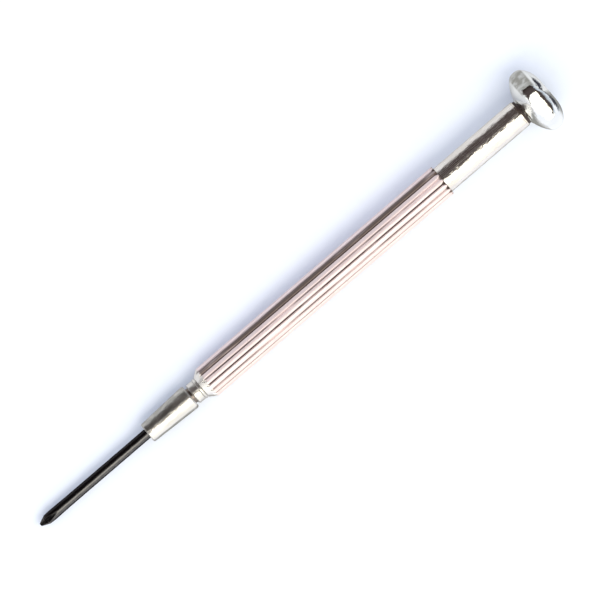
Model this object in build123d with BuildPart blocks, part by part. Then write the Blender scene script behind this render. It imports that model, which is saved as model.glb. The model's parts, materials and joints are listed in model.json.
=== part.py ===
from build123d import *
from math import cos, radians, sin, sqrt, tan
import os

# Watchmaker's screwdriver with a collet chuck, a fluted grip and a swivelling finger cap.
#
# Frame: +X runs along the tool's axis from the driver point to the finger cap, +Z is up,
# and the origin is the driver point. The tool lies as it does on a bench, with one flat
# of the six-sided cap facing down. Every length is in millimetres.

# ---- driving dimensions -------------------------------------------------------------

shank_radius = 0.80          # 1.6 mm blade
blade_reach = 21.10          # bare blade in front of the chuck nut
nut_length = 8.90
neck_length = 1.20
ring_width = 0.55
sleeve_length = 47.70
barrel_tail_length = 15.10   # plain length of barrel behind the grip
flange_width = 0.25
cap_gap = 0.40               # dark gap in front of the finger cap
cap_length = 5.05

grip_radius = 2.62
barrel_radius = 2.22
neck_radius = 1.70
cap_radius = 5.42
cap_flat_distance = 4.90     # tool axis to each flat of the cap
cap_flat_count = 6
flute_count = 16

running_clearance = 0.03     # radial gap between pieces that turn or slide
face_gap = 0.03              # end gap between faces that pass each other

# ---- stations along the axis --------------------------------------------------------

x_nut = blade_reach
x_neck = x_nut + nut_length
x_ring = x_neck + neck_length
x_sleeve = x_ring + ring_width
x_step = x_sleeve + sleeve_length
x_barrel_end = x_step + barrel_tail_length
x_bush_face = x_barrel_end + flange_width
x_cap = x_bush_face + cap_gap
x_cap_end = x_cap + cap_length

# ---- blade: round shank, cross point that is a little wider than the shank ----------

blade_length = 33.0
point_flat_radius = 0.26
point_length = 1.30
flare_radius = 0.86
flare_end = 5.60
blade_chamfer = 0.20
point_flute_reach = 1.50     # how far a flute cutter stands out past the blade
# distance along the axis, and distance of the flute's bottom edge from the axis
point_flutes = ((-0.10, 0.11), (1.60, 0.34), (3.40, 0.90))

with BuildPart() as blade:
    with BuildSketch(Plane.XZ):
        with BuildLine():
            Polyline(
                (0, 0),
                (0, point_flat_radius),
                (point_length, flare_radius),
                (flare_end, shank_radius),
                (blade_length - blade_chamfer, shank_radius),
                (blade_length, shank_radius - blade_chamfer),
                (blade_length, 0),
                close=True,
            )
        make_face()
    revolve(axis=Axis.X)
    for angle in (0, 90, 180, 270):
        across = (0, cos(radians(angle)), sin(radians(angle)))
        for x, depth in point_flutes:
            with BuildSketch(Plane(origin=(x, 0, 0), x_dir=across, z_dir=(1, 0, 0))):
                with BuildLine():
                    Polyline(
                        (depth, 0),
                        (depth + point_flute_reach, point_flute_reach),
                        (depth + point_flute_reach, -point_flute_reach),
                        close=True,
                    )
                make_face()
        loft(ruled=True, mode=Mode.SUBTRACT)

# ---- collet: four split jaws with a cone at each end of the head --------------------

x_collet = x_nut + 0.90
collet_nose_radius = 1.00
collet_head_radius = 1.40
collet_body_radius = 1.05
front_cone = tan(radians(12))
rear_cone = tan(radians(30))
x_collet_head = x_collet + (collet_head_radius - collet_nose_radius) / front_cone
x_collet_shoulder = x_collet_head + 0.40
x_collet_body = x_collet_shoulder + (collet_head_radius - collet_body_radius) / rear_cone
x_collet_end = x_neck - 0.80
collet_slot_width = 0.24
collet_slot_length = 5.60

with BuildPart() as collet:
    with BuildSketch(Plane.XZ):
        with BuildLine():
            Polyline(
                (x_collet, shank_radius + running_clearance),
                (x_collet, collet_nose_radius),
                (x_collet_head, collet_head_radius),
                (x_collet_shoulder, collet_head_radius),
                (x_collet_body, collet_body_radius),
                (x_collet_end, collet_body_radius),
                (x_collet_end, shank_radius + running_clearance),
                close=True,
            )
        make_face()
    revolve(axis=Axis.X)
    with BuildSketch(Plane.YZ.offset(x_collet)):
        Rectangle(4 * collet_head_radius, collet_slot_width)
        Rectangle(collet_slot_width, 4 * collet_head_radius)
    extrude(amount=collet_slot_length, mode=Mode.SUBTRACT)

# ---- chuck spindle: threaded stud, neck, and a tail pressed into the barrel ---------

x_stud = x_collet_shoulder + 0.25
stud_radius = 1.44
stud_relief_radius = 1.30
stud_chamfer = 0.12
thread_end = x_neck - 0.50
spindle_bore_radius = collet_body_radius + running_clearance
mouth_radius = collet_head_radius - (x_stud - x_collet_shoulder) * rear_cone + running_clearance
x_mouth_end = x_stud + (mouth_radius - spindle_bore_radius) / rear_cone
x_spindle_bore_end = x_collet_end + 0.15
blade_bore_radius = shank_radius + running_clearance
x_blade_bore_end = blade_length + face_gap
drill_point = blade_bore_radius * tan(radians(31))
tail_radius = 1.40
tail_length = 7.50
neck_chamfer = 0.08
neck_front_chamfer = 0.20

with BuildPart() as chuck_spindle:
    with BuildSketch(Plane.XZ):
        with BuildLine():
            Polyline(
                (x_stud, mouth_radius),
                (x_stud, stud_radius - stud_chamfer),
                (x_stud + stud_chamfer, stud_radius),
                (thread_end, stud_radius),
                (thread_end, stud_relief_radius),
                (x_neck, stud_relief_radius),
                (x_neck, neck_radius - neck_front_chamfer),
                (x_neck + neck_front_chamfer, neck_radius),
                (x_ring - neck_chamfer, neck_radius),
                (x_ring, neck_radius - neck_chamfer),
                (x_ring, tail_radius),
                (x_ring + tail_length, tail_radius),
                (x_ring + tail_length, 0),
                (x_blade_bore_end + drill_point, 0),
                (x_blade_bore_end, blade_bore_radius),
                (x_spindle_bore_end, blade_bore_radius),
                (x_spindle_bore_end, spindle_bore_radius),
                (x_mouth_end, spindle_bore_radius),
                close=True,
            )
        make_face()
    revolve(axis=Axis.X)

# ---- chuck nut: tapered nose whose inner cone closes the collet ---------------------

nut_front_radius = 1.635
nut_rear_radius = 2.01
nut_shoulder_length = 0.22
nut_shoulder_radius = 1.85
nut_gap = 0.35               # thread relief left open between the nut and the neck
nut_front_round = 0.32
nut_hole_radius = 0.87
nut_bore_radius = stud_radius + 0.04
nut_relief_radius = nut_bore_radius + 0.04
x_nut_cone = x_collet - 0.10
nut_cone_start_radius = collet_nose_radius + running_clearance - 0.10 * front_cone
nut_cone_end_radius = collet_head_radius + running_clearance
x_nut_cone_end = x_nut_cone + (nut_cone_end_radius - nut_cone_start_radius) / front_cone
x_nut_relief = x_stud - 0.15
x_nut_thread = x_stud + 0.25
x_nut_end = x_neck - nut_gap

with BuildPart() as chuck_nut:
    with BuildSketch(Plane.XZ) as nut_outline:
        with BuildLine():
            Polyline(
                (x_nut, nut_hole_radius),
                (x_nut, nut_front_radius),
                (x_nut_end - nut_shoulder_length, nut_rear_radius),
                (x_nut_end, nut_shoulder_radius),
                (x_nut_end, nut_bore_radius),
                (x_nut_thread, nut_bore_radius),
                (x_nut_thread, nut_relief_radius),
                (x_nut_relief, nut_relief_radius),
                (x_nut_relief, nut_cone_end_radius),
                (x_nut_cone_end, nut_cone_end_radius),
                (x_nut_cone, nut_cone_start_radius),
                (x_nut_cone, nut_hole_radius),
                close=True,
            )
        make_face()
        front_corner = nut_outline.vertices().group_by(Axis.X)[0].sort_by(Axis.Z)[-1]
        fillet(front_corner, radius=nut_front_round)
    revolve(axis=Axis.X)

# ---- neck ring: thin beaded washer between the neck and the grip --------------------

bead_radius = 1.80
bead_flat_radius = 1.62

with BuildPart() as neck_ring:
    with BuildSketch(Plane.XZ):
        with BuildLine():
            Polyline(
                (x_ring + face_gap, bead_flat_radius),
                (x_ring + face_gap, tail_radius),
                (x_sleeve - face_gap, tail_radius),
                (x_sleeve - face_gap, bead_flat_radius),
            )
            ThreePointArc(
                (x_sleeve - face_gap, bead_flat_radius),
                (x_ring + ring_width / 2, bead_radius),
                (x_ring + face_gap, bead_flat_radius),
            )
        make_face()
    revolve(axis=Axis.X)

# ---- barrel: turned tube, reduced under the grip and bored at both ends --------------

core_radius = 1.75
barrel_bore_radius = 1.20
x_front_bore_end = x_ring + tail_length + 0.50
bush_radius = 1.75
x_seat = x_barrel_end - 12.0
barrel_end_chamfer = 0.06

with BuildPart() as barrel_tube:
    with BuildSketch(Plane.XZ):
        with BuildLine():
            Polyline(
                (x_sleeve, tail_radius),
                (x_sleeve, core_radius),
                (x_step, core_radius),
                (x_step, barrel_radius),
                (x_barrel_end - barrel_end_chamfer, barrel_radius),
                (x_barrel_end, barrel_radius - barrel_end_chamfer),
                (x_barrel_end, bush_radius),
                (x_seat, bush_radius),
                (x_seat, barrel_bore_radius),
                (x_front_bore_end, barrel_bore_radius),
                (x_front_bore_end, tail_radius),
                close=True,
            )
        make_face()
    revolve(axis=Axis.X)

# ---- grip sleeve: fluted tube pressed on the reduced part of the barrel -------------

sleeve_nose_radius = 1.84
sleeve_taper_length = 1.10
sleeve_end_chamfer = 0.10
flute_depth = 0.34
flute_mouth = 0.42
flute_turn = 1.5             # degrees from +Y to the nearest flute
flute_overshoot = 0.20       # the cutter's height above the grip's surface
runout_length = 0.55         # where the flutes open out at the rear end
runout_depth = 0.38
runout_mouth = 0.90


def flute_triangle(depth, mouth):
    """Points of a V cutter, measured outwards from the grip's surface and across it."""
    half_width = mouth / 2 * (1 + flute_overshoot / depth)
    return (-depth, 0), (flute_overshoot, -half_width), (flute_overshoot, half_width)


with BuildPart() as grip_sleeve:
    with BuildSketch(Plane.XZ):
        with BuildLine():
            Polyline(
                (x_sleeve, core_radius),
                (x_sleeve, sleeve_nose_radius),
                (x_sleeve + sleeve_taper_length, grip_radius),
                (x_step - sleeve_end_chamfer, grip_radius),
                (x_step, grip_radius - sleeve_end_chamfer),
                (x_step, core_radius),
                close=True,
            )
        make_face()
    revolve(axis=Axis.X)
    with BuildSketch(Plane.YZ.offset(x_sleeve)):
        with PolarLocations(grip_radius, flute_count, start_angle=flute_turn):
            Polygon(*flute_triangle(flute_depth, flute_mouth), align=None)
    extrude(amount=sleeve_length, mode=Mode.SUBTRACT)
    for index in range(flute_count):
        turn = radians(flute_turn + 360 / flute_count * index)
        outwards = (0, cos(turn), sin(turn))
        for x, depth, mouth in (
            (x_step - runout_length, flute_depth, flute_mouth),
            (x_step + face_gap, runout_depth, runout_mouth),
        ):
            surface = (x, grip_radius * cos(turn), grip_radius * sin(turn))
            with BuildSketch(Plane(origin=surface, x_dir=outwards, z_dir=(1, 0, 0))):
                Polygon(*flute_triangle(depth, mouth), align=None)
        loft(ruled=True, mode=Mode.SUBTRACT)

# ---- end bush: flanged bearing for the cap's pin, pressed into the barrel -----------

pin_radius = 0.80
bush_bore_radius = pin_radius + running_clearance
x_bush = x_barrel_end - 6.60

with BuildPart() as end_bush:
    with BuildSketch(Plane.XZ):
        with BuildLine():
            Polyline(
                (x_bush, bush_bore_radius),
                (x_bush, bush_radius),
                (x_barrel_end, bush_radius),
                (x_barrel_end, barrel_radius - barrel_end_chamfer),
                (x_barrel_end + barrel_end_chamfer, barrel_radius),
                (x_bush_face - barrel_end_chamfer, barrel_radius),
                (x_bush_face, barrel_radius - barrel_end_chamfer),
                (x_bush_face, bush_bore_radius),
                close=True,
            )
        make_face()
    revolve(axis=Axis.X)

# ---- thrust washer: keeps the turning cap off the bush ------------------------------

washer_radius = 2.05

with BuildPart() as thrust_washer:
    with BuildSketch(Plane.YZ.offset(x_bush_face)):
        Circle(washer_radius)
        Circle(bush_bore_radius, mode=Mode.SUBTRACT)
    extrude(amount=cap_gap - face_gap)

# ---- swivel pin: pressed in the cap, turning in the bush, running on a ball ---------

pin_play = 0.07              # end play that the retaining clip leaves the cap
clip_thickness = 0.26
groove_gap = 0.02
groove_radius = 0.55
x_clip = x_bush - pin_play - clip_thickness
x_pin = x_clip - 0.95
x_pin_end = x_cap + 3.20
pin_chamfer = 0.15

with BuildPart() as swivel_pin:
    with BuildSketch(Plane.XZ):
        with BuildLine():
            Polyline(
                (x_pin, 0),
                (x_pin, pin_radius - pin_chamfer),
                (x_pin + pin_chamfer, pin_radius),
                (x_clip - groove_gap, pin_radius),
                (x_clip - groove_gap, groove_radius),
                (x_clip + clip_thickness + groove_gap, groove_radius),
                (x_clip + clip_thickness + groove_gap, pin_radius),
                (x_pin_end - pin_chamfer, pin_radius),
                (x_pin_end, pin_radius - pin_chamfer),
                (x_pin_end, 0),
                close=True,
            )
        make_face()
    revolve(axis=Axis.X)

# ---- retaining clip: open spring ring snapped into the pin's groove -----------------

clip_outer_radius = 1.35
clip_mouth = 0.90

with BuildPart() as retaining_clip:
    with BuildSketch(Plane.YZ.offset(x_clip)):
        Circle(clip_outer_radius)
        Circle(groove_radius + 0.01, mode=Mode.SUBTRACT)
        with Locations((clip_outer_radius / 2, 0)):
            Rectangle(clip_outer_radius, clip_mouth, mode=Mode.SUBTRACT)
    extrude(amount=clip_thickness)

# ---- thrust ball and the hardened seat it runs in -----------------------------------

ball_radius = 0.75
x_ball = x_pin - face_gap - ball_radius
x_cup_apex = x_ball - ball_radius * sqrt(2) - 0.01
x_seat_face = x_cup_apex + 0.75

with BuildPart() as thrust_ball:
    with BuildSketch(Plane.XZ):
        with BuildLine():
            Line((x_ball - ball_radius, 0), (x_ball + ball_radius, 0))
            ThreePointArc(
                (x_ball + ball_radius, 0),
                (x_ball, ball_radius),
                (x_ball - ball_radius, 0),
            )
        make_face()
    revolve(axis=Axis.X)

with BuildPart() as ball_seat:
    with BuildSketch(Plane.XZ):
        with BuildLine():
            Polyline(
                (x_seat, 0),
                (x_seat, bush_radius),
                (x_seat_face, bush_radius),
                (x_seat_face, x_seat_face - x_cup_apex),
                (x_cup_apex, 0),
                close=True,
            )
        make_face()
    revolve(axis=Axis.X)

# ---- swivel cap: lens-shaped disc with six flats and a shallow finger dish ----------

cap_face_radius = 2.30
cap_cone_radius = 4.85
cap_cone_length = 1.50
cap_rim_station = 2.60       # where the rim is widest
cap_crown_station = 3.45     # where the rim turns into the rounded crown
cap_crown_radius = 5.32
cap_crown_middle = (4.60, 3.95)
cap_land_radius = 2.30       # outer edge of the flat land round the finger dish
cap_dish_radius = 2.05
cap_dish_depth = 0.35
cap_edge_round = 0.15
cap_end_round = 0.12
cap_corner_round = 1.70

with BuildPart() as swivel_cap:
    with BuildSketch(Plane.XZ) as cap_outline:
        with BuildLine():
            Polyline(
                (x_cap_end - cap_dish_depth, 0),
                (x_pin_end, 0),
                (x_pin_end, pin_radius),
                (x_cap, pin_radius),
                (x_cap, cap_face_radius),
                (x_cap + cap_cone_length, cap_cone_radius),
            )
            ThreePointArc(
                (x_cap + cap_cone_length, cap_cone_radius),
                (x_cap + cap_rim_station, cap_radius),
                (x_cap + cap_crown_station, cap_crown_radius),
            )
            ThreePointArc(
                (x_cap + cap_crown_station, cap_crown_radius),
                (x_cap + cap_crown_middle[0], cap_crown_middle[1]),
                (x_cap_end, cap_land_radius),
            )
            Line((x_cap_end, cap_land_radius), (x_cap_end, cap_dish_radius))
            RadiusArc(
                (x_cap_end, cap_dish_radius),
                (x_cap_end - cap_dish_depth, 0),
                radius=-(cap_dish_radius**2 + cap_dish_depth**2) / (2 * cap_dish_depth),
            )
        make_face()
        front_corner = cap_outline.vertices().sort_by_distance((x_cap, 0, cap_face_radius))[0]
        fillet(front_corner, radius=cap_edge_round)
        dish_corner = cap_outline.vertices().sort_by_distance((x_cap_end, 0, cap_dish_radius))[0]
        fillet(dish_corner, radius=cap_end_round)
    revolve(axis=Axis.X)
    with BuildSketch(Plane.YZ.offset(x_cap)) as hexagon:
        RegularPolygon(radius=cap_flat_distance, side_count=cap_flat_count, major_radius=False)
        fillet(hexagon.vertices(), radius=cap_corner_round)
    extrude(amount=cap_length, mode=Mode.INTERSECT)

# ---- write one STEP for each piece --------------------------------------------------

pieces = {
    "blade": blade,
    "collet": collet,
    "chuck_spindle": chuck_spindle,
    "chuck_nut": chuck_nut,
    "neck_ring": neck_ring,
    "barrel_tube": barrel_tube,
    "grip_sleeve": grip_sleeve,
    "end_bush": end_bush,
    "thrust_washer": thrust_washer,
    "swivel_pin": swivel_pin,
    "retaining_clip": retaining_clip,
    "thrust_ball": thrust_ball,
    "ball_seat": ball_seat,
    "swivel_cap": swivel_cap,
}

os.makedirs("parts", exist_ok=True)
for name, piece in pieces.items():
    piece.part.label = name
    export_step(piece.part, f"parts/{name}.step")
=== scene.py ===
import cmath
import json
import math

import bpy
import numpy as np
from mathutils import Matrix, Vector


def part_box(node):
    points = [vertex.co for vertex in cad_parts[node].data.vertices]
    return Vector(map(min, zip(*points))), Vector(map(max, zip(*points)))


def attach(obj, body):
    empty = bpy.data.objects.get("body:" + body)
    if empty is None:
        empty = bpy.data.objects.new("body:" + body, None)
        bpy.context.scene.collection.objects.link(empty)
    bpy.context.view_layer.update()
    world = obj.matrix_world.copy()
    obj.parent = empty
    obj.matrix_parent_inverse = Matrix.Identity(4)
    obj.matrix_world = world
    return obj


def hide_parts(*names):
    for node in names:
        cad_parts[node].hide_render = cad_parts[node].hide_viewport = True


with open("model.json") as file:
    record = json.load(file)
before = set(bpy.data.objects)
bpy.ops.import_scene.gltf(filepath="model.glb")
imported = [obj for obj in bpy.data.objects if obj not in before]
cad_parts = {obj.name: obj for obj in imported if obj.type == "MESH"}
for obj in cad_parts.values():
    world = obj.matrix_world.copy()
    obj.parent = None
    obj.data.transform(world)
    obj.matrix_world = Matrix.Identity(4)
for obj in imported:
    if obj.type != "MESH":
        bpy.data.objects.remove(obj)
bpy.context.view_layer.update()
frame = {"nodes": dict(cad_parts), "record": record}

# The looks of a watchmaker's screwdriver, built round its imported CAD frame.
# The tool's axis is X, so a turned piece is an outline of (x, radius) points swept round X.
# Lengths are millimetres, and MM turns them into Blender's metres. A station is a distance
# along the axis. A turn is an angle round it, in degrees from +Y towards +Z.

MM = 0.001
FULL_TURN = 2 * math.pi

# ---- sizes that the frame doesn't give ----------------------------------------------

EDGE = 0.05                    # rounding on ordinary turned corners
CORNER_STEPS = 5               # points along each rounded corner

SHANK_RADIUS = 0.80
POINT_FLAT_RADIUS = 0.20
POINT_RADIUS = 0.86
POINT_LENGTH = 1.30
POINT_END = 3.70               # the finely divided part of the blade ends here
# station, and distance of the flute's bottom edge from the axis, past which it leaves the blade
POINT_FLUTE_STATIONS = (-0.10, 1.60, 3.40, 3.60)
POINT_FLUTE_BOTTOMS = (0.11, 0.34, 0.90, 9.0)

NUT_HOLE_RADIUS = 0.87
NUT_FRONT_RADIUS = 1.635
NUT_FRONT_ROUND = 0.32
NUT_SHOULDER_RADIUS = 1.85
NUT_SHOULDER_LENGTH = 0.22
NUT_BORE_RADIUS = 1.48
NUT_RELIEF_RADIUS = 1.52
NUT_CONE_RADII = (1.01, 1.43)
NUT_CONE_STATIONS = (-0.10, 1.88)   # from the collet's nose
NUT_RELIEF_STATIONS = (-0.15, 0.25)  # from the stud's front
NUT_GAP = 0.35                 # thread relief left open between the nut and the neck

THREAD_PITCH = 0.35
THREAD_DEPTH = 0.17
THREAD_RUNOUT = 0.50           # relief between the thread and the neck
STUD_RADIUS = 1.44
STUD_CHAMFER = 0.12
STUD_RELIEF_RADIUS = 1.30
NECK_RADIUS = 1.70
NECK_CHAMFER = 0.20
COLLET_MOUTH_RADIUS = 1.29
COLLET_MOUTH_DEPTH = 0.36
COLLET_BORE_RADIUS = 1.08
COLLET_BORE_BEFORE_NECK = 0.65
BLADE_BORE_RADIUS = 0.83
TAIL_RADIUS = 1.40             # spindle tail, pressed into the barrel
BEAD_RADIUS = 1.62             # where the neck ring's bead starts

CORE_RADIUS = 1.75             # barrel under the sleeve
GRIP_NOSE_RADIUS = 1.84
GRIP_TAPER = 1.10
GRIP_CHAMFER = 0.10
GRIP_EDGE = 0.06
FLUTE_COUNT = 16
FLUTE_DEPTH = 0.34
FLUTE_MOUTH = 0.42
FLUTE_TURN = math.radians(1.5)  # from +Y to the nearest flute
RUNOUT_LENGTH = 0.55           # where the flutes open out at the rear end
RUNOUT_DEPTH = 0.38
RUNOUT_MOUTH = 0.90
RIDGE_CROWN = 0.07             # how much the ridges round off towards their flutes

BARREL_BORE_RADIUS = 1.20
BARREL_SOCKET_RADIUS = 1.75    # takes the end bush
TAIL_ROOM = 0.50               # behind the spindle's tail
PIN_BORE_RADIUS = 0.83
PIN_RADIUS = 0.80

CAP_FACE_RADIUS = 2.15
CAP_COLLAR = (0.20, 2.50)      # these cap points are (distance from the cap's front, radius)
CAP_FRONT_MIDDLE = (0.72, 3.75)
CAP_RIM_FRONT = (1.50, 4.85)
CAP_RIM_MIDDLE = (2.60, 5.42)
CAP_RIM_REAR = (3.45, 5.32)
CAP_CROWN_MIDDLE = (4.60, 3.95)
CAP_LAND_RADIUS = 2.30
CAP_DISH_RADIUS = 2.05
CAP_DISH_DEPTH = 0.35
CAP_EDGE = 0.15
CAP_CORNER_BLEND = 1.05        # across each edge between two flats
CAP_FLAT_BLEND = 0.12          # along the front and rear edges of a flat
CAP_REAR_ROUND = 2.10          # radius the rear of each flat rolls over with
CAP_REAR_STATION = 2.85        # where that rounding begins
CAP_FLAT_FRONT = 1.55          # front edge of a flat


# ---- reading the frame --------------------------------------------------------------


def span(node):
    """First and last station of a CAD node along the axis, in millimetres."""
    low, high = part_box(node)
    return low.x / MM, high.x / MM


def half_height(node):
    """Half the height of a CAD node, which is the outer radius of a round one."""
    low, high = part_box(node)
    return (high.z - low.z) / 2 / MM


# ---- mesh helpers -------------------------------------------------------------------


def round_corners(points, radius, closed=True):
    """The outline with a small curve in place of each corner."""
    points = [Vector(p) for p in points]
    count = len(points)
    rounded = []
    for i, corner in enumerate(points):
        is_end = not closed and i in (0, count - 1)
        before = points[i - 1] - corner
        after = points[(i + 1) % count] - corner
        if is_end or before.angle(after) > math.radians(176):
            rounded.append(corner)
            continue
        reach = radius / math.tan(before.angle(after) / 2)
        reach = min(reach, 0.45 * before.length, 0.45 * after.length)
        start = corner + before.normalized() * reach
        end = corner + after.normalized() * reach
        for step in range(CORNER_STEPS + 1):
            u = step / CORNER_STEPS
            rounded.append((1 - u) ** 2 * start + 2 * u * (1 - u) * corner + u**2 * end)
    return [tuple(p) for p in rounded]


def arc(centre_x, centre_r, radius_x, radius_r, start, end, steps):
    """Points on an ellipse in the (x, radius) plane, between two angles in degrees."""
    angles = np.radians(np.linspace(start, end, steps))
    return [(centre_x + radius_x * math.cos(a), centre_r + radius_r * math.sin(a)) for a in angles]


def arc_through(start, middle, end, steps):
    """Points on the circle through three points, from the first to the last."""
    a, b, c = (complex(*p) for p in (start, middle, end))
    w = (c - a) / (b - a)
    centre = (b - a) * (w - abs(w) ** 2) / (2j * w.imag) + a
    turn = cmath.phase((c - centre) / (a - centre))
    spokes = [(a - centre) * cmath.exp(1j * turn * k / steps) for k in range(steps + 1)]
    return [((centre + spoke).real, (centre + spoke).imag) for spoke in spokes]


def subdivide(outline, longest, closed=True):
    """The outline with extra points, so that no stretch of it is longer than asked."""
    dense = []
    count = len(outline) if closed else len(outline) - 1
    for i in range(count):
        start, end = np.array(outline[i]), np.array(outline[(i + 1) % len(outline)])
        pieces = max(1, math.ceil(np.linalg.norm(end - start) / longest))
        dense += [tuple(start + (end - start) * k / pieces) for k in range(pieces)]
    if not closed:
        dense.append(outline[-1])
    return dense


def smooth_min(a, b, width):
    """The smaller of two values, with the change-over rounded across the given width."""
    h = np.clip(0.5 + 0.5 * (b - a) / width, 0, 1)
    return b * (1 - h) + a * h - width * h * (1 - h)


def lathe(name, outline, closed=True, segments=128, radius_at=None):
    """Sweeps an outline round the X axis. radius_at(x, radius, angle) may reshape it."""
    angles = np.arange(segments) * FULL_TURN / segments
    outline = np.array(outline)
    x = np.repeat(outline[:, :1], segments, axis=1)
    radius = np.repeat(outline[:, 1:], segments, axis=1)
    if radius_at:
        radius = radius_at(x, radius, angles[None, :])
    points = np.stack([x, radius * np.cos(angles), radius * np.sin(angles)], axis=-1) * MM
    rings = len(outline)
    vertices = [tuple(p) for p in points.reshape(-1, 3)]
    ring = [[i * segments + j for j in range(segments)] for i in range(rings)]
    faces = []
    last = rings if closed else rings - 1
    for i in range(last):
        this, following = ring[i], ring[(i + 1) % rings]
        for j in range(segments):
            k = (j + 1) % segments
            faces.append((this[j], this[k], following[k], following[j]))
    if not closed:
        for end, flip in ((0, True), (rings - 1, False)):
            vertices.append((outline[end][0] * MM, 0.0, 0.0))
            centre = len(vertices) - 1
            for j in range(segments):
                k = (j + 1) % segments
                edge = (ring[end][k], ring[end][j]) if flip else (ring[end][j], ring[end][k])
                faces.append((*edge, centre))
    return finish_mesh(name, vertices, faces)


def finish_mesh(name, vertices, faces):
    """Makes a smooth object whose faces point outwards, shaded by face area."""
    corners = np.array(vertices)
    normals = np.zeros_like(corners)
    volume = 0.0
    for size in (3, 4):
        group = np.array([f for f in faces if len(f) == size])
        if not len(group):
            continue
        p = corners[group]
        if size == 3:
            area = np.cross(p[:, 1] - p[:, 0], p[:, 2] - p[:, 0])
        else:
            area = np.cross(p[:, 2] - p[:, 0], p[:, 3] - p[:, 1])
        volume += float(np.sum(area * p.mean(axis=1)))
        for column in range(size):
            np.add.at(normals, group[:, column], area)
    if volume < 0:
        faces = [tuple(reversed(f)) for f in faces]
        normals = -normals
    lengths = np.linalg.norm(normals, axis=1, keepdims=True)
    normals = normals / np.maximum(lengths, 1e-20)
    mesh = bpy.data.meshes.new(name)
    mesh.from_pydata(vertices, [], faces)
    mesh.shade_smooth()
    mesh.normals_split_custom_set_from_vertices([tuple(n) for n in normals])
    piece = bpy.data.objects.new(name, mesh)
    bpy.context.scene.collection.objects.link(piece)
    return piece


def stand_for(piece, node, material):
    """Lets a finished piece stand for a CAD node on that node's body."""
    bodies = frame["record"]["behaviour"]["bodies"]
    body = next(name for name, nodes in bodies.items() if node in nodes)
    piece.data.materials.append(material)
    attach(piece, body)
    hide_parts(node)


# ---- material helpers ---------------------------------------------------------------


class Shader:
    """Builds a material's or a world's nodes: add() makes one and sets or links its inputs."""

    def __init__(self, owner):
        owner.use_nodes = True
        self.owner = owner
        self.tree = owner.node_tree
        self.tree.nodes.clear()

    def add(self, kind, inputs=None, **settings):
        node = self.tree.nodes.new("ShaderNode" + kind)
        for key, value in settings.items():
            setattr(node, key, value)
        for key, value in (inputs or {}).items():
            if isinstance(value, bpy.types.NodeSocket):
                self.tree.links.new(value, node.inputs[key])
            else:
                node.inputs[key].default_value = value
        return node

    def math(self, operation, a, b=0.0, c=0.0, clamp=False):
        return self.add("Math", {0: a, 1: b, 2: c}, operation=operation, use_clamp=clamp).outputs[0]

    def mix(self, factor, a, b):
        node = self.add("Mix", {0: factor, 6: a, 7: b}, data_type="RGBA")
        return node.outputs[2]

    def between(self, value, low, high):
        """0 below low and 1 above high, rising smoothly between them."""
        node = self.add("MapRange", {0: value, 1: low, 2: high}, interpolation_type="SMOOTHSTEP")
        return node.outputs[0]

    def noise(self, along, around, detail=3.0, offset=0.0):
        """Noise fixed to the piece, with its own fineness along and round the axis, per mm."""
        place = self.add("TexCoord").outputs["Object"]
        scale = (along / MM, around / MM, around / MM)
        vector = self.add(
            "Mapping", {"Vector": place, "Location": (offset, offset, offset), "Scale": scale}
        ).outputs[0]
        node = self.add("TexNoise", {"Vector": vector, "Scale": 1.0, "Detail": detail})
        return node.outputs["Fac"]

    def station(self):
        """Station along the tool's axis, in millimetres."""
        place = self.add("TexCoord").outputs["Object"]
        x = self.add("SeparateXYZ", {0: place}).outputs[0]
        return self.math("MULTIPLY", x, 1 / MM)

    def axis_distance(self):
        """Distance from the tool's axis, in millimetres."""
        place = self.add("TexCoord").outputs["Object"]
        parts = self.add("SeparateXYZ", {0: place}).outputs
        y_squared = self.math("MULTIPLY", parts[1], parts[1])
        z_squared = self.math("MULTIPLY", parts[2], parts[2])
        distance = self.math("SQRT", self.math("ADD", y_squared, z_squared))
        return self.math("MULTIPLY", distance, 1 / MM)

    def turn(self):
        """Angle round the tool's axis from +Y towards +Z, in degrees."""
        place = self.add("TexCoord").outputs["Object"]
        parts = self.add("SeparateXYZ", {0: place}).outputs
        angle = self.math("ARCTAN2", parts[2], parts[1])
        return self.math("MULTIPLY", angle, 360 / FULL_TURN)

    def off_turn(self, turn):
        """Angle round the axis between a point and the given turn, in degrees."""
        return self.math("PINGPONG", self.math("SUBTRACT", self.turn(), turn), 180.0)

    def bump(self, height, depth, below=None):
        """Surface relief: height runs 0 to 1 over a depth in millimetres."""
        inputs = {"Height": height, "Distance": depth * MM, "Strength": 1.0}
        if below:
            inputs["Normal"] = below
        return self.add("Bump", inputs).outputs[0]

    def finish(self, **inputs):
        names = {
            "colour": "Base Color",
            "metallic": "Metallic",
            "roughness": "Roughness",
            "normal": "Normal",
            "edge_tint": "Specular Tint",
        }
        surface = self.add("BsdfPrincipled", {names[k]: v for k, v in inputs.items()})
        self.add("OutputMaterial", {"Surface": surface.outputs[0]})
        return self.owner


def new_shader(name):
    """A shader for a new material of this name."""
    return Shader(bpy.data.materials.new(name))


def rgb(red, green, blue):
    """A colour in linear light, as the nodes take it."""
    return (red, green, blue, 1.0)


MARK_DEPTH = 0.003             # turning and drawing marks
PIT_DEPTH = 0.004
# colour of painted shade on the plate, and of old oil with painted shade in recesses
PAINTED_SHADE_PLATE = rgb(0.34, 0.34, 0.315)
OIL_AND_SHADE = rgb(0.28, 0.24, 0.22)


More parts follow.
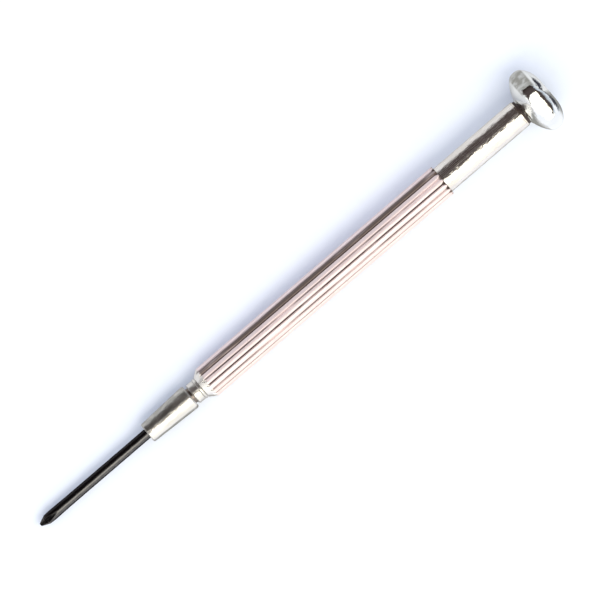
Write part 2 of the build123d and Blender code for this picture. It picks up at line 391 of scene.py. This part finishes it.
def metal(name, colour, tint, roughness, turned=0.0, drawn=0.0, waves=0.0,
          oil_and_shade_below=0.0, painted_shade_side=None):
    """Plated or ground metal: cloudy tint, marks round or along the axis, waves and smudges.

    Surfaces nearer the axis than the given oil radius are darker, partly with old oil and partly
    with painted shade in recesses. On the painted side the plate carries painted shade, darker and
    blotchy, given as a turn and a half-width in degrees, the first and last station, and how dark
    it is.
    """
    shader = new_shader(name)
    cloud = shader.noise(0.25, 0.5, detail=4)
    base = shader.mix(shader.between(cloud, 0.35, 0.7), colour, tint)
    # painted shade: the plate is darkened, in blotches, round the given side, standing in for shade
    # and dark reflections
    if painted_shade_side:
        turn, half_width, first, last, amount = painted_shade_side
        turn_edge, station_edge = 8.0, 0.3
        painted_shade = shader.between(shader.off_turn(turn), half_width, half_width - turn_edge)
        station = shader.station()
        for end, inside in ((first, first + station_edge), (last, last - station_edge)):
            painted_shade = shader.math("MULTIPLY", painted_shade, shader.between(station, end, inside))
        blotches = shader.between(shader.noise(0.9, 1.2, detail=5, offset=4.4), 0.30, 0.62)
        blotches = shader.math("MULTIPLY_ADD", blotches, 0.5 * amount, 0.5 * amount)
        base = shader.mix(shader.math("MULTIPLY", painted_shade, blotches), base, PAINTED_SHADE_PLATE)
    # darker nearer the axis than the given radius: partly old oil, partly painted shade in recesses
    # such as the thread relief between nut and neck
    oil_and_shade = shader.between(shader.axis_distance(), oil_and_shade_below, oil_and_shade_below - 0.08)
    base = shader.mix(oil_and_shade, base, OIL_AND_SHADE)

    smudges = shader.between(shader.noise(0.6, 1.1, detail=5, offset=3.7), 0.45, 0.75)
    rings = shader.noise(9.0, 0.15, detail=4)
    streaks = shader.noise(0.12, 9.0, detail=4, offset=1.3)
    scratches = shader.between(streaks, 0.45, 0.70)
    rough = roughness
    for marks, amount in ((smudges, 0.08), (rings, 0.06), (scratches, 0.08 * drawn)):
        rough = shader.math("ADD", rough, shader.math("MULTIPLY", marks, amount))

    ripples = shader.noise(1.1, 1.7, detail=4, offset=6.6)
    pits = shader.between(shader.noise(7.0, 7.0, detail=2, offset=8.1), 0.72, 0.80)
    normal = shader.bump(rings, MARK_DEPTH * turned)
    normal = shader.bump(streaks, MARK_DEPTH * drawn, normal)
    normal = shader.bump(ripples, waves, normal)
    normal = shader.bump(shader.math("SUBTRACT", 1.0, pits), PIT_DEPTH, normal)
    return shader.finish(colour=base, metallic=1.0, roughness=rough, normal=normal)


# ---- materials ----------------------------------------------------------------------


def black_steel():
    """Black oxide on hardened steel, bare on the point's lands, with painted shade blackening it
    everywhere but a lighter strip along the top, a painted sheen where the key light falls.
    """
    shader = new_shader("black_steel")
    mottle = shader.between(shader.noise(1.5, 3.0, detail=5), 0.35, 0.7)
    oxide = shader.mix(mottle, rgb(0.095, 0.095, 0.10), rgb(0.135, 0.132, 0.135))
    # painted sheen and shade: the oxide stays lighter on the strip turned to the key light and is
    # painted blacker on the sides
    lit_strip_turn = 103.0
    painted_shade_sides = shader.between(shader.off_turn(lit_strip_turn), 22.0, 40.0)
    oxide = shader.mix(painted_shade_sides, oxide, rgb(0.038, 0.036, 0.038))

    near_point = shader.between(shader.station(), 1.9, 0.2)
    on_land = shader.between(shader.axis_distance(), 0.18, 0.60)
    patches = shader.between(shader.noise(5.0, 6.0, detail=4, offset=2.0), 0.42, 0.62)
    bare = shader.math("MULTIPLY", shader.math("MULTIPLY", near_point, on_land), patches)
    colour = shader.mix(bare, oxide, rgb(0.30, 0.29, 0.28))
    rough = shader.math("ADD", 0.20, shader.math("MULTIPLY", mottle, 0.12))
    normal = shader.bump(shader.noise(0.3, 10.0, detail=4), MARK_DEPTH)
    return shader.finish(
        colour=colour,
        metallic=1.0,
        roughness=rough,
        normal=normal,
        edge_tint=rgb(0.20, 0.20, 0.21),
    )


SHADED_RIDGE_TURN = 36.0         # the ridge painted darkest, on the side away from the key light
DARKER_FLUTE_TURN = 46.5    # every second flute from this one is painted darker


def grip_plate(outer_radius, flutes_start, flutes_end):
    """Satin plate, pink on the ridges, dark brown in the flutes as tarnish and painted shade, and
    with painted shade down the side away from the key light.
    """
    shader = new_shader("grip_plate")
    station = shader.station()
    on_ridges = shader.between(station, flutes_start - 0.15, flutes_start + 0.25)
    # painted shade in the flutes' open rear ends and on the end edge
    runout_shade = shader.between(station, flutes_end - 0.60, flutes_end - 0.05)
    cloud = shader.between(shader.noise(0.3, 0.8, detail=5), 0.3, 0.75)
    patches = shader.noise(0.12, 0.9, detail=4)
    pink = shader.mix(cloud, rgb(0.92, 0.78, 0.745), rgb(0.85, 0.705, 0.67))
    plate = shader.mix(on_ridges, rgb(0.93, 0.92, 0.90), pink)
    # painted shade: the ridges down the side away from the key light are painted dark brown, in
    # patches
    painted_shade = shader.between(shader.off_turn(SHADED_RIDGE_TURN), 15.0, 6.0)
    painted_shade = shader.math("MULTIPLY", painted_shade, on_ridges)
    painted_shade = shader.math("MULTIPLY", painted_shade, shader.between(patches, 0.05, 0.45))
    plate = shader.mix(painted_shade, plate, rgb(0.13, 0.095, 0.08))

    # dark brown in the flutes by depth below the ridges: partly tarnish, partly painted shade in
    # the hollows
    depth = shader.math("SUBTRACT", outer_radius, shader.axis_distance())
    depth = shader.math("ADD", depth, shader.math("MULTIPLY", runout_shade, 0.30 * FLUTE_DEPTH))
    in_flute = shader.between(depth, 0.30 * FLUTE_DEPTH, 0.75 * FLUTE_DEPTH)
    in_flute = shader.math("MULTIPLY", in_flute, on_ridges)
    from_flute = shader.math("SUBTRACT", shader.turn(), DARKER_FLUTE_TURN)
    wave = shader.math("RADIANS", shader.math("MULTIPLY", from_flute, FLUTE_COUNT / 2))
    alternate = shader.math("MULTIPLY_ADD", shader.math("COSINE", wave), 0.35, 0.25)
    alternate = shader.math("ADD", alternate, runout_shade)
    amount = shader.math("ADD", alternate, shader.between(patches, 0.30, 0.60), clamp=True)
    colour = shader.mix(shader.math("MULTIPLY", in_flute, amount), plate, rgb(0.10, 0.065, 0.055))
    specks = shader.between(shader.noise(3.2, 3.2, detail=3, offset=5.0), 0.66, 0.74)
    colour = shader.mix(shader.math("MULTIPLY", specks, 0.5), colour, rgb(0.35, 0.25, 0.22))

    rough = shader.math("ADD", 0.26, shader.math("MULTIPLY", on_ridges, 0.12))
    rough = shader.math("ADD", rough, shader.math("MULTIPLY", cloud, 0.08))
    metallic = shader.math("SUBTRACT", 1.0, shader.math("MULTIPLY", on_ridges, 0.60))
    normal = shader.bump(shader.noise(0.15, 8.0, detail=4), 0.006)
    normal = shader.bump(shader.noise(4.0, 6.0, detail=5, offset=9.0), 0.010, normal)
    return shader.finish(colour=colour, metallic=metallic, roughness=rough, normal=normal)


def moulded_plastic():
    """Dark acetal with a faint moulded grain."""
    shader = new_shader("moulded_plastic")
    grain = shader.noise(12.0, 12.0, detail=3)
    colour = shader.mix(grain, rgb(0.030, 0.016, 0.012), rgb(0.055, 0.032, 0.025))
    rough = shader.math("ADD", 0.45, shader.math("MULTIPLY", grain, 0.15))
    return shader.finish(colour=colour, roughness=rough, normal=shader.bump(grain, 0.004))


def floor_paper():
    """White paper. Reflections see it dimmer, with a painted sheen towards the lower right, a
    painted contact shadow in a strip beside the tool, and two dark painted patches past the cap.
    """
    shader = new_shader("floor_paper")
    fibres = shader.noise(0.8, 0.8, detail=4)
    paper = shader.mix(fibres, rgb(0.79, 0.835, 0.90), rgb(0.81, 0.855, 0.92))
    place = shader.add("TexCoord").outputs["Object"]
    y = shader.math("MULTIPLY", shader.add("SeparateXYZ", {0: place}).outputs[1], 1 / MM)

    # painted sheen: reflections see the paper paler on the lower right than on the other side
    lower_right = shader.between(y, -5.0, -10.0)
    seen = shader.mix(lower_right, rgb(0.66, 0.655, 0.64), rgb(0.78, 0.78, 0.80))
    # painted contact shadow that only reflections see, in a strip beside the tool on the lower
    # right
    beside = shader.between(y, -0.5, -2.0)
    near = shader.math("MULTIPLY", beside, shader.math("SUBTRACT", 1.0, lower_right))
    seen = shader.mix(near, seen, rgb(0.24, 0.235, 0.22))

    # two dark painted patches past the cap, either side of its axis, that only reflections see and
    # that make dark marks in the cap
    dark = shader.between(shader.station(), 106.2, 107.6)
    off_middle = shader.math("ABSOLUTE", shader.math("ADD", y, 0.8))
    for low, high in ((2.0, 2.8), (10.0, 8.0)):
        dark = shader.math("MULTIPLY", dark, shader.between(off_middle, low, high))
    seen = shader.mix(dark, seen, rgb(0.02, 0.02, 0.03))

    is_glossy = shader.add("LightPath").outputs["Is Glossy Ray"]
    colour = shader.mix(is_glossy, paper, seen)
    return shader.finish(colour=colour, roughness=0.9, normal=shader.bump(fibres, 0.002))


# ---- pieces -------------------------------------------------------------------------


def make_blade(material):
    start, end = span("blade")
    outline = [
        (start, POINT_FLAT_RADIUS),
        (start + 0.04, POINT_FLAT_RADIUS + 0.06),
        (start + POINT_LENGTH, POINT_RADIUS),
        (start + 2.40, POINT_RADIUS - 0.01),
        (start + 5.60, SHANK_RADIUS),
        (end - 0.20, SHANK_RADIUS),
        (end, SHANK_RADIUS - 0.20),
    ]
    outline = round_corners(outline, 0.15, closed=False)
    point = [p for p in subdivide(outline, 0.03, closed=False) if p[0] < POINT_END]
    shank = [p for p in outline if p[0] >= POINT_END]

    def cross_point(x, radius, angle):
        """Cuts four straight-walled flutes, with their bottoms on the Y and Z axes."""
        off_flute = (angle + math.pi / 4) % (math.pi / 2) - math.pi / 4
        opening = np.maximum(np.cos(off_flute) - np.abs(np.sin(off_flute)), 1e-4)
        bottom = np.interp(x, POINT_FLUTE_STATIONS, POINT_FLUTE_BOTTOMS)
        return np.minimum(radius, bottom / opening)

    piece = lathe("blade_shank", point + shank, closed=False, segments=192, radius_at=cross_point)
    stand_for(piece, "blade", material)


def make_chuck_nut(material):
    start, end = span("chuck_nut")
    front = [
        (start, NUT_HOLE_RADIUS),
        (start, NUT_FRONT_RADIUS),
        (end - NUT_SHOULDER_LENGTH, half_height("chuck_nut")),
    ]
    relief_start, relief_end = (span("chuck_spindle")[0] + x for x in NUT_RELIEF_STATIONS)
    cone_start, cone_end = (span("collet")[0] + x for x in NUT_CONE_STATIONS)
    outline = [
        front[0],
        *round_corners(front, NUT_FRONT_ROUND, closed=False)[1:-1],
        front[2],
        (end, NUT_SHOULDER_RADIUS),
        (end, NUT_BORE_RADIUS),
        (relief_end, NUT_BORE_RADIUS),
        (relief_end, NUT_RELIEF_RADIUS),
        (relief_start, NUT_RELIEF_RADIUS),
        (relief_start, NUT_CONE_RADII[1]),
        (cone_end, NUT_CONE_RADII[1]),
        (cone_start, NUT_CONE_RADII[0]),
        (cone_start, NUT_HOLE_RADIUS),
    ]
    piece = lathe("tapered_chuck_nut", round_corners(outline, EDGE), segments=160)
    stand_for(piece, "chuck_nut", material)


def make_chuck_spindle(material):
    start, end = span("chuck_spindle")
    neck_start = span("chuck_nut")[1] + NUT_GAP
    neck_end = span("neck_ring")[0] - 0.03
    thread_end = neck_start - THREAD_RUNOUT
    bore_end = neck_start - COLLET_BORE_BEFORE_NECK
    outline = [
        (start, COLLET_MOUTH_RADIUS),
        (start, STUD_RADIUS - STUD_CHAMFER),
        (start + STUD_CHAMFER, STUD_RADIUS),
        (thread_end, STUD_RADIUS),
        (thread_end, STUD_RELIEF_RADIUS),
        (neck_start, STUD_RELIEF_RADIUS),
        (neck_start, NECK_RADIUS - NECK_CHAMFER),
        (neck_start + NECK_CHAMFER, NECK_RADIUS),
        (neck_end, NECK_RADIUS),
        (neck_end, TAIL_RADIUS),
        (end, TAIL_RADIUS),
        (end, BLADE_BORE_RADIUS),
        (bore_end, BLADE_BORE_RADIUS),
        (bore_end, COLLET_BORE_RADIUS),
        (start + COLLET_MOUTH_DEPTH, COLLET_BORE_RADIUS),
    ]
    outline = subdivide(round_corners(outline, EDGE), THREAD_PITCH / 10)

    def threaded(x, radius, angle):
        """Cuts a right-hand thread into the stud."""
        turn = ((x - start) / THREAD_PITCH - angle / FULL_TURN) % 1.0
        valley = 1 - np.abs(2 * turn - 1)
        on_stud = (x < thread_end) & (radius > STUD_RADIUS - STUD_CHAMFER - 0.01)
        fade = np.clip((thread_end - x) / THREAD_PITCH, 0, 1)
        return radius - on_stud * fade * THREAD_DEPTH * np.clip(1.25 * valley - 0.15, 0, 1)

    piece = lathe("threaded_spindle", outline, segments=96, radius_at=threaded)
    stand_for(piece, "chuck_spindle", material)


def make_neck_ring(material):
    start, end = span("neck_ring")
    middle, half = (start + end) / 2, (end - start) / 2
    bead = arc(middle, BEAD_RADIUS, half, half_height("neck_ring") - BEAD_RADIUS, 180, 0, 13)
    outline = [(start, TAIL_RADIUS), *bead, (end, TAIL_RADIUS)]
    piece = lathe("beaded_neck_ring", outline, segments=128)
    stand_for(piece, "neck_ring", material)


def make_grip_sleeve():
    start, end = span("grip_sleeve")
    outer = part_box("grip_sleeve")[1].z / MM
    outline = [
        (start, CORE_RADIUS),
        (start, GRIP_NOSE_RADIUS),
        (start + GRIP_TAPER, outer),
        (end - GRIP_CHAMFER, outer),
        (end, outer - GRIP_CHAMFER),
        (end, CORE_RADIUS),
    ]
    # only the two ends need close rings, because the flutes run straight between them
    straight_start, straight_end = start + 2.0, end - 0.8
    dense = subdivide(round_corners(outline, GRIP_EDGE), 0.05)
    outline = [p for p in dense if not straight_start < p[0] < straight_end]
    pitch = FULL_TURN / FLUTE_COUNT

    def fluted(x, radius, angle):
        """Cuts V flutes with rounded shoulders and bottoms, which open out at the rear end."""
        off_flute = np.abs((angle + pitch / 2 - FLUTE_TURN) % pitch - pitch / 2)
        opened = np.clip((x - end + RUNOUT_LENGTH) / RUNOUT_LENGTH, 0, 1)
        depth = FLUTE_DEPTH + opened * (RUNOUT_DEPTH - FLUTE_DEPTH)
        mouth = FLUTE_MOUTH + opened * (RUNOUT_MOUTH - FLUTE_MOUTH)
        slope = depth / (mouth / 2)
        wall = outer - depth + np.hypot(off_flute * outer * slope, 0.03) - 0.02
        off_ridge = 1 - off_flute / (pitch / 2)
        crowned = radius - RIDGE_CROWN * off_ridge**2 * (radius > outer - 0.2)
        return np.where(radius > CORE_RADIUS + 0.04, smooth_min(crowned, wall, 0.05), radius)

    piece = lathe("fluted_sleeve", outline, segments=FLUTE_COUNT * 24, radius_at=fluted)
    material = grip_plate(outer, start + GRIP_TAPER, end)
    stand_for(piece, "grip_sleeve", material)


def make_barrel(material):
    start, end = span("barrel_tube")
    step = span("grip_sleeve")[1]
    seat = span("ball_seat")[0]
    tail_end = span("chuck_spindle")[1] + TAIL_ROOM
    radius = half_height("barrel_tube")
    outline = [
        (start, TAIL_RADIUS),
        (start, CORE_RADIUS),
        (step, CORE_RADIUS),
        (step, radius),
        (end, radius),
        (end, BARREL_SOCKET_RADIUS),
        (seat, BARREL_SOCKET_RADIUS),
        (seat, BARREL_BORE_RADIUS),
        (tail_end, BARREL_BORE_RADIUS),
        (tail_end, TAIL_RADIUS),
    ]
    piece = lathe("turned_barrel", round_corners(outline, EDGE), segments=160)
    stand_for(piece, "barrel_tube", material)


def make_end_bush(material):
    start, end = span("end_bush")
    barrel_end = span("barrel_tube")[1]
    radius = half_height("end_bush")
    outline = [
        (start, PIN_BORE_RADIUS),
        (start, BARREL_SOCKET_RADIUS),
        (barrel_end, BARREL_SOCKET_RADIUS),
        (barrel_end, radius),
        (end, radius),
        (end, PIN_BORE_RADIUS),
    ]
    piece = lathe("flanged_bush", round_corners(outline, EDGE), segments=160)
    stand_for(piece, "end_bush", material)


def make_thrust_washer(material):
    start, end = span("thrust_washer")
    radius = half_height("thrust_washer")
    outline = [(start, PIN_BORE_RADIUS), (start, radius), (end, radius), (end, PIN_BORE_RADIUS)]
    piece = lathe("plain_washer", round_corners(outline, EDGE), segments=96)
    stand_for(piece, "thrust_washer", material)


def make_swivel_cap(material):
    start, end = span("swivel_cap")
    flat_distance = half_height("swivel_cap")
    pin_end = span("swivel_pin")[1]

    def from_front(point):
        return start + point[0], point[1]

    collar, rim_front, rim_rear = map(from_front, (CAP_COLLAR, CAP_RIM_FRONT, CAP_RIM_REAR))
    front = arc_through(collar, from_front(CAP_FRONT_MIDDLE), rim_front, 12)
    rim = arc_through(rim_front, from_front(CAP_RIM_MIDDLE), rim_rear, 24)
    crown = arc_through(rim_rear, from_front(CAP_CROWN_MIDDLE), (end, CAP_LAND_RADIUS), 24)
    dish = []
    for radius in np.linspace(1.95, 0.05, 16):
        depth = CAP_DISH_DEPTH * (1 - (radius / CAP_DISH_RADIUS) ** 2)
        dish.append((end - depth, radius))
    outline = [
        (pin_end, 0.02),
        (pin_end, PIN_RADIUS),
        (start, PIN_RADIUS),
        (start, CAP_FACE_RADIUS),
        *front[:-1],
        *rim,
        *crown[1:],
        (end, CAP_DISH_RADIUS + 0.05),
        *dish,
    ]
    outline = subdivide(round_corners(outline, CAP_EDGE, closed=False), 0.05, closed=False)

    def six_flats(x, radius, angle):
        """Cuts the rim to a hexagon with rounded corners, one flat facing straight down."""
        off_flat = (angle - math.pi / 2 + math.pi / 6) % (math.pi / 3) - math.pi / 6
        past = np.clip(x - start - CAP_REAR_STATION, 0, 0.95 * CAP_REAR_ROUND)
        distance = flat_distance - CAP_REAR_ROUND + np.sqrt(CAP_REAR_ROUND**2 - past**2)
        near = distance / np.cos(off_flat)
        far = distance / np.cos(math.pi / 3 - np.abs(off_flat))
        return smooth_min(radius, smooth_min(near, far, CAP_CORNER_BLEND), CAP_FLAT_BLEND)

    piece = lathe("six_sided_cap", outline, closed=False, segments=360, radius_at=six_flats)
    stand_for(piece, "swivel_cap", material)


def finish_inner_pieces(steel, spring):
    """Gives the CAD pieces that stay inside the tool their materials."""
    for node, material in (
        ("collet", spring),
        ("retaining_clip", spring),
        ("swivel_pin", steel),
        ("thrust_ball", steel),
        ("ball_seat", steel),
    ):
        slots = frame["nodes"][node].data.materials
        slots.clear()
        slots.append(material)


CHUCK_REAR = 30.0              # the nickel of the chuck nut carries painted shade up to this station

nickel = metal(
    "nickel_plate",
    rgb(0.82, 0.815, 0.79),
    rgb(0.72, 0.715, 0.68),
    0.32,
    turned=1.0,
    waves=0.09,
    # old oil and painted shade in the thread roots and the relief between nut and neck
    oil_and_shade_below=STUD_RADIUS - 0.06,
    # painted shade all round the chuck but a lit strip along the top, which faces the key light
    painted_shade_side=(-75.5, 151.5, 0.0, CHUCK_REAR, 0.80),
)
bright = metal(
    "bright_plate", rgb(0.90, 0.88, 0.85), rgb(0.82, 0.79, 0.75), 0.15, drawn=2.0, waves=0.09
)
flats_start = span("swivel_cap")[0] + 1.3
chrome = metal(
    "cap_plate",
    rgb(0.92, 0.95, 0.955),
    rgb(0.84, 0.88, 0.89),
    0.05,
    waves=0.05,
    # painted shade on the flat turned up and away from the key light, standing in for a dark
    # reflection
    painted_shade_side=(28.0, 34.0, flats_start, flats_start + 2.7, 1.0),
)
brass = metal("bush_plate", rgb(0.86, 0.83, 0.76), rgb(0.80, 0.74, 0.62), 0.12, turned=1.0)
hard_steel = metal("hard_steel", rgb(0.60, 0.60, 0.62), rgb(0.52, 0.52, 0.54), 0.15, turned=1.0)
spring_steel = metal("spring_steel", rgb(0.45, 0.45, 0.46), rgb(0.36, 0.35, 0.35), 0.25, turned=1.0)

make_blade(black_steel())
make_chuck_nut(nickel)
make_chuck_spindle(nickel)
make_neck_ring(nickel)
make_grip_sleeve()
make_barrel(bright)
make_end_bush(brass)
make_thrust_washer(moulded_plastic())
make_swivel_cap(chrome)
finish_inner_pieces(hard_steel, spring_steel)


# ---- floor, camera and light --------------------------------------------------------

# Directions seen from above the bench: the camera leans ten degrees from straight up,
# and the tool runs from the lower left of the picture to the upper right.
CAMERA_LEAN = math.radians(10)
PICTURE_ROLL = math.radians(40.63)
TOOL_MIDDLE = Vector((51.5, 0, 0)) * MM
TO_CAMERA = Vector((0, math.sin(CAMERA_LEAN), math.cos(CAMERA_LEAN)))
ALONG_TOOL = Vector((1, 0, 0))
LOWER_RIGHT = ALONG_TOOL.cross(TO_CAMERA)


def towards(angle):
    """Direction that leans from the camera towards the picture's lower right, in degrees."""
    a = math.radians(angle)
    return TO_CAMERA * math.cos(a) + LOWER_RIGHT * math.sin(a)


def aim(thing, place, direction, up):
    """Puts a camera or light at a place, looking along a direction."""
    back = -direction.normalized()
    side = up.cross(back).normalized()
    top = back.cross(side)
    turn = Matrix((side, top, back)).transposed().to_4x4()
    thing.matrix_world = Matrix.Translation(place) @ turn


def make_floor():
    """A sheet under the front of the grip and the front edge of the cap's lower flat."""
    grip_station = span("grip_sleeve")[0] + GRIP_TAPER
    grip_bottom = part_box("grip_sleeve")[0].z / MM
    flat_station = span("swivel_cap")[0] + CAP_FLAT_FRONT
    flat_bottom = -half_height("swivel_cap")
    slope = (flat_bottom - grip_bottom) / (flat_station - grip_station)
    reach, clearance = 3000, 0.01
    corners = []
    for x, y in ((-reach, -reach), (reach, -reach), (reach, reach), (-reach, reach)):
        z = grip_bottom + slope * (x - grip_station) - clearance
        corners.append((x * MM, y * MM, z * MM))
    mesh = bpy.data.meshes.new("floor")
    mesh.from_pydata(corners, [], [(0, 1, 2, 3)])
    floor = bpy.data.objects.new("floor", mesh)
    bpy.context.scene.collection.objects.link(floor)
    mesh.materials.append(floor_paper())


def make_camera():
    """A long lens that frames 90 mm of the tool across the picture."""
    lens, sensor, frame_width, tool_offset = 1000, 36, 90.0, 0.29
    data = bpy.data.cameras.new("camera")
    data.lens = lens
    data.sensor_width = sensor
    data.clip_start = 0.01
    camera = bpy.data.objects.new("camera", data)
    bpy.context.scene.collection.objects.link(camera)
    target = TOOL_MIDDLE - LOWER_RIGHT * tool_offset * MM
    up = ALONG_TOOL * math.sin(PICTURE_ROLL) - LOWER_RIGHT * math.cos(PICTURE_ROLL)
    distance = frame_width * MM * lens / sensor
    aim(camera, target + TO_CAMERA * distance, -TO_CAMERA, up)
    bpy.context.scene.camera = camera


def make_key_light():
    """A warm soft box that leans towards the lower right, its long side along the tool."""
    lean, distance, length, width = 28, 420, 620, 210
    data = bpy.data.lights.new("key_softbox", "AREA")
    data.shape = "RECTANGLE"
    data.size, data.size_y = length * MM, width * MM
    data.energy = 0.85
    data.color = (1.0, 0.93, 0.76)
    light = bpy.data.objects.new("key_softbox", data)
    bpy.context.scene.collection.objects.link(light)
    direction = towards(lean).normalized()
    across = direction.cross(ALONG_TOOL).normalized()
    aim(light, TOOL_MIDDLE + direction * distance * MM, -direction, across)


def make_world():
    """Pale surroundings for soft light, with a dark ceiling that only reflections see."""
    world = bpy.data.worlds.new("studio")
    bpy.context.scene.world = world
    shader = Shader(world)
    direction = shader.add("TexCoord").outputs["Generated"]

    def component(axis):
        dot = shader.add("VectorMath", {0: direction, 1: tuple(axis)}, operation="DOT_PRODUCT")
        return dot.outputs["Value"]

    # lean is the angle from the camera towards the lower right, and along is 1 past the cap
    lean = shader.math("ARCTAN2", component(LOWER_RIGHT), component(TO_CAMERA))
    along = component(ALONG_TOOL)

    def leaning(low, high):
        return shader.between(lean, math.radians(low), math.radians(high))

    # the ceiling ends at the key light, and past the key's end it reaches down to the wall
    past_key = shader.math("MULTIPLY", shader.between(along, 0.22, 0.36), leaning(78, 58))
    before_right = shader.math("MAXIMUM", leaning(14, 4), past_key)
    ceiling = shader.math("MULTIPLY", leaning(-84, -74), before_right)
    off_end = shader.between(shader.math("ABSOLUTE", along), 0.97, 0.85)
    ceiling = shader.math("MULTIPLY", ceiling, off_end)

    walls = shader.mix(leaning(85, 118), rgb(1.25, 1.22, 1.16), rgb(0.62, 0.58, 0.53))
    walls = shader.mix(shader.between(along, 0.50, 0.80), walls, rgb(0.66, 0.71, 0.78))
    reflected = shader.mix(ceiling, walls, rgb(0.070, 0.052, 0.048))
    soft = shader.mix(leaning(-60, 45), rgb(0.91, 0.965, 1.17), rgb(1.12, 1.13, 1.17))
    is_glossy = shader.add("LightPath").outputs["Is Glossy Ray"]
    colour = shader.mix(is_glossy, soft, reflected)
    background = shader.add("Background", {"Color": colour, "Strength": 1.0})
    shader.add("OutputWorld", {"Surface": background.outputs[0]})


make_floor()
make_camera()
make_key_light()
make_world()
bpy.context.scene.view_settings.view_transform = "Standard"
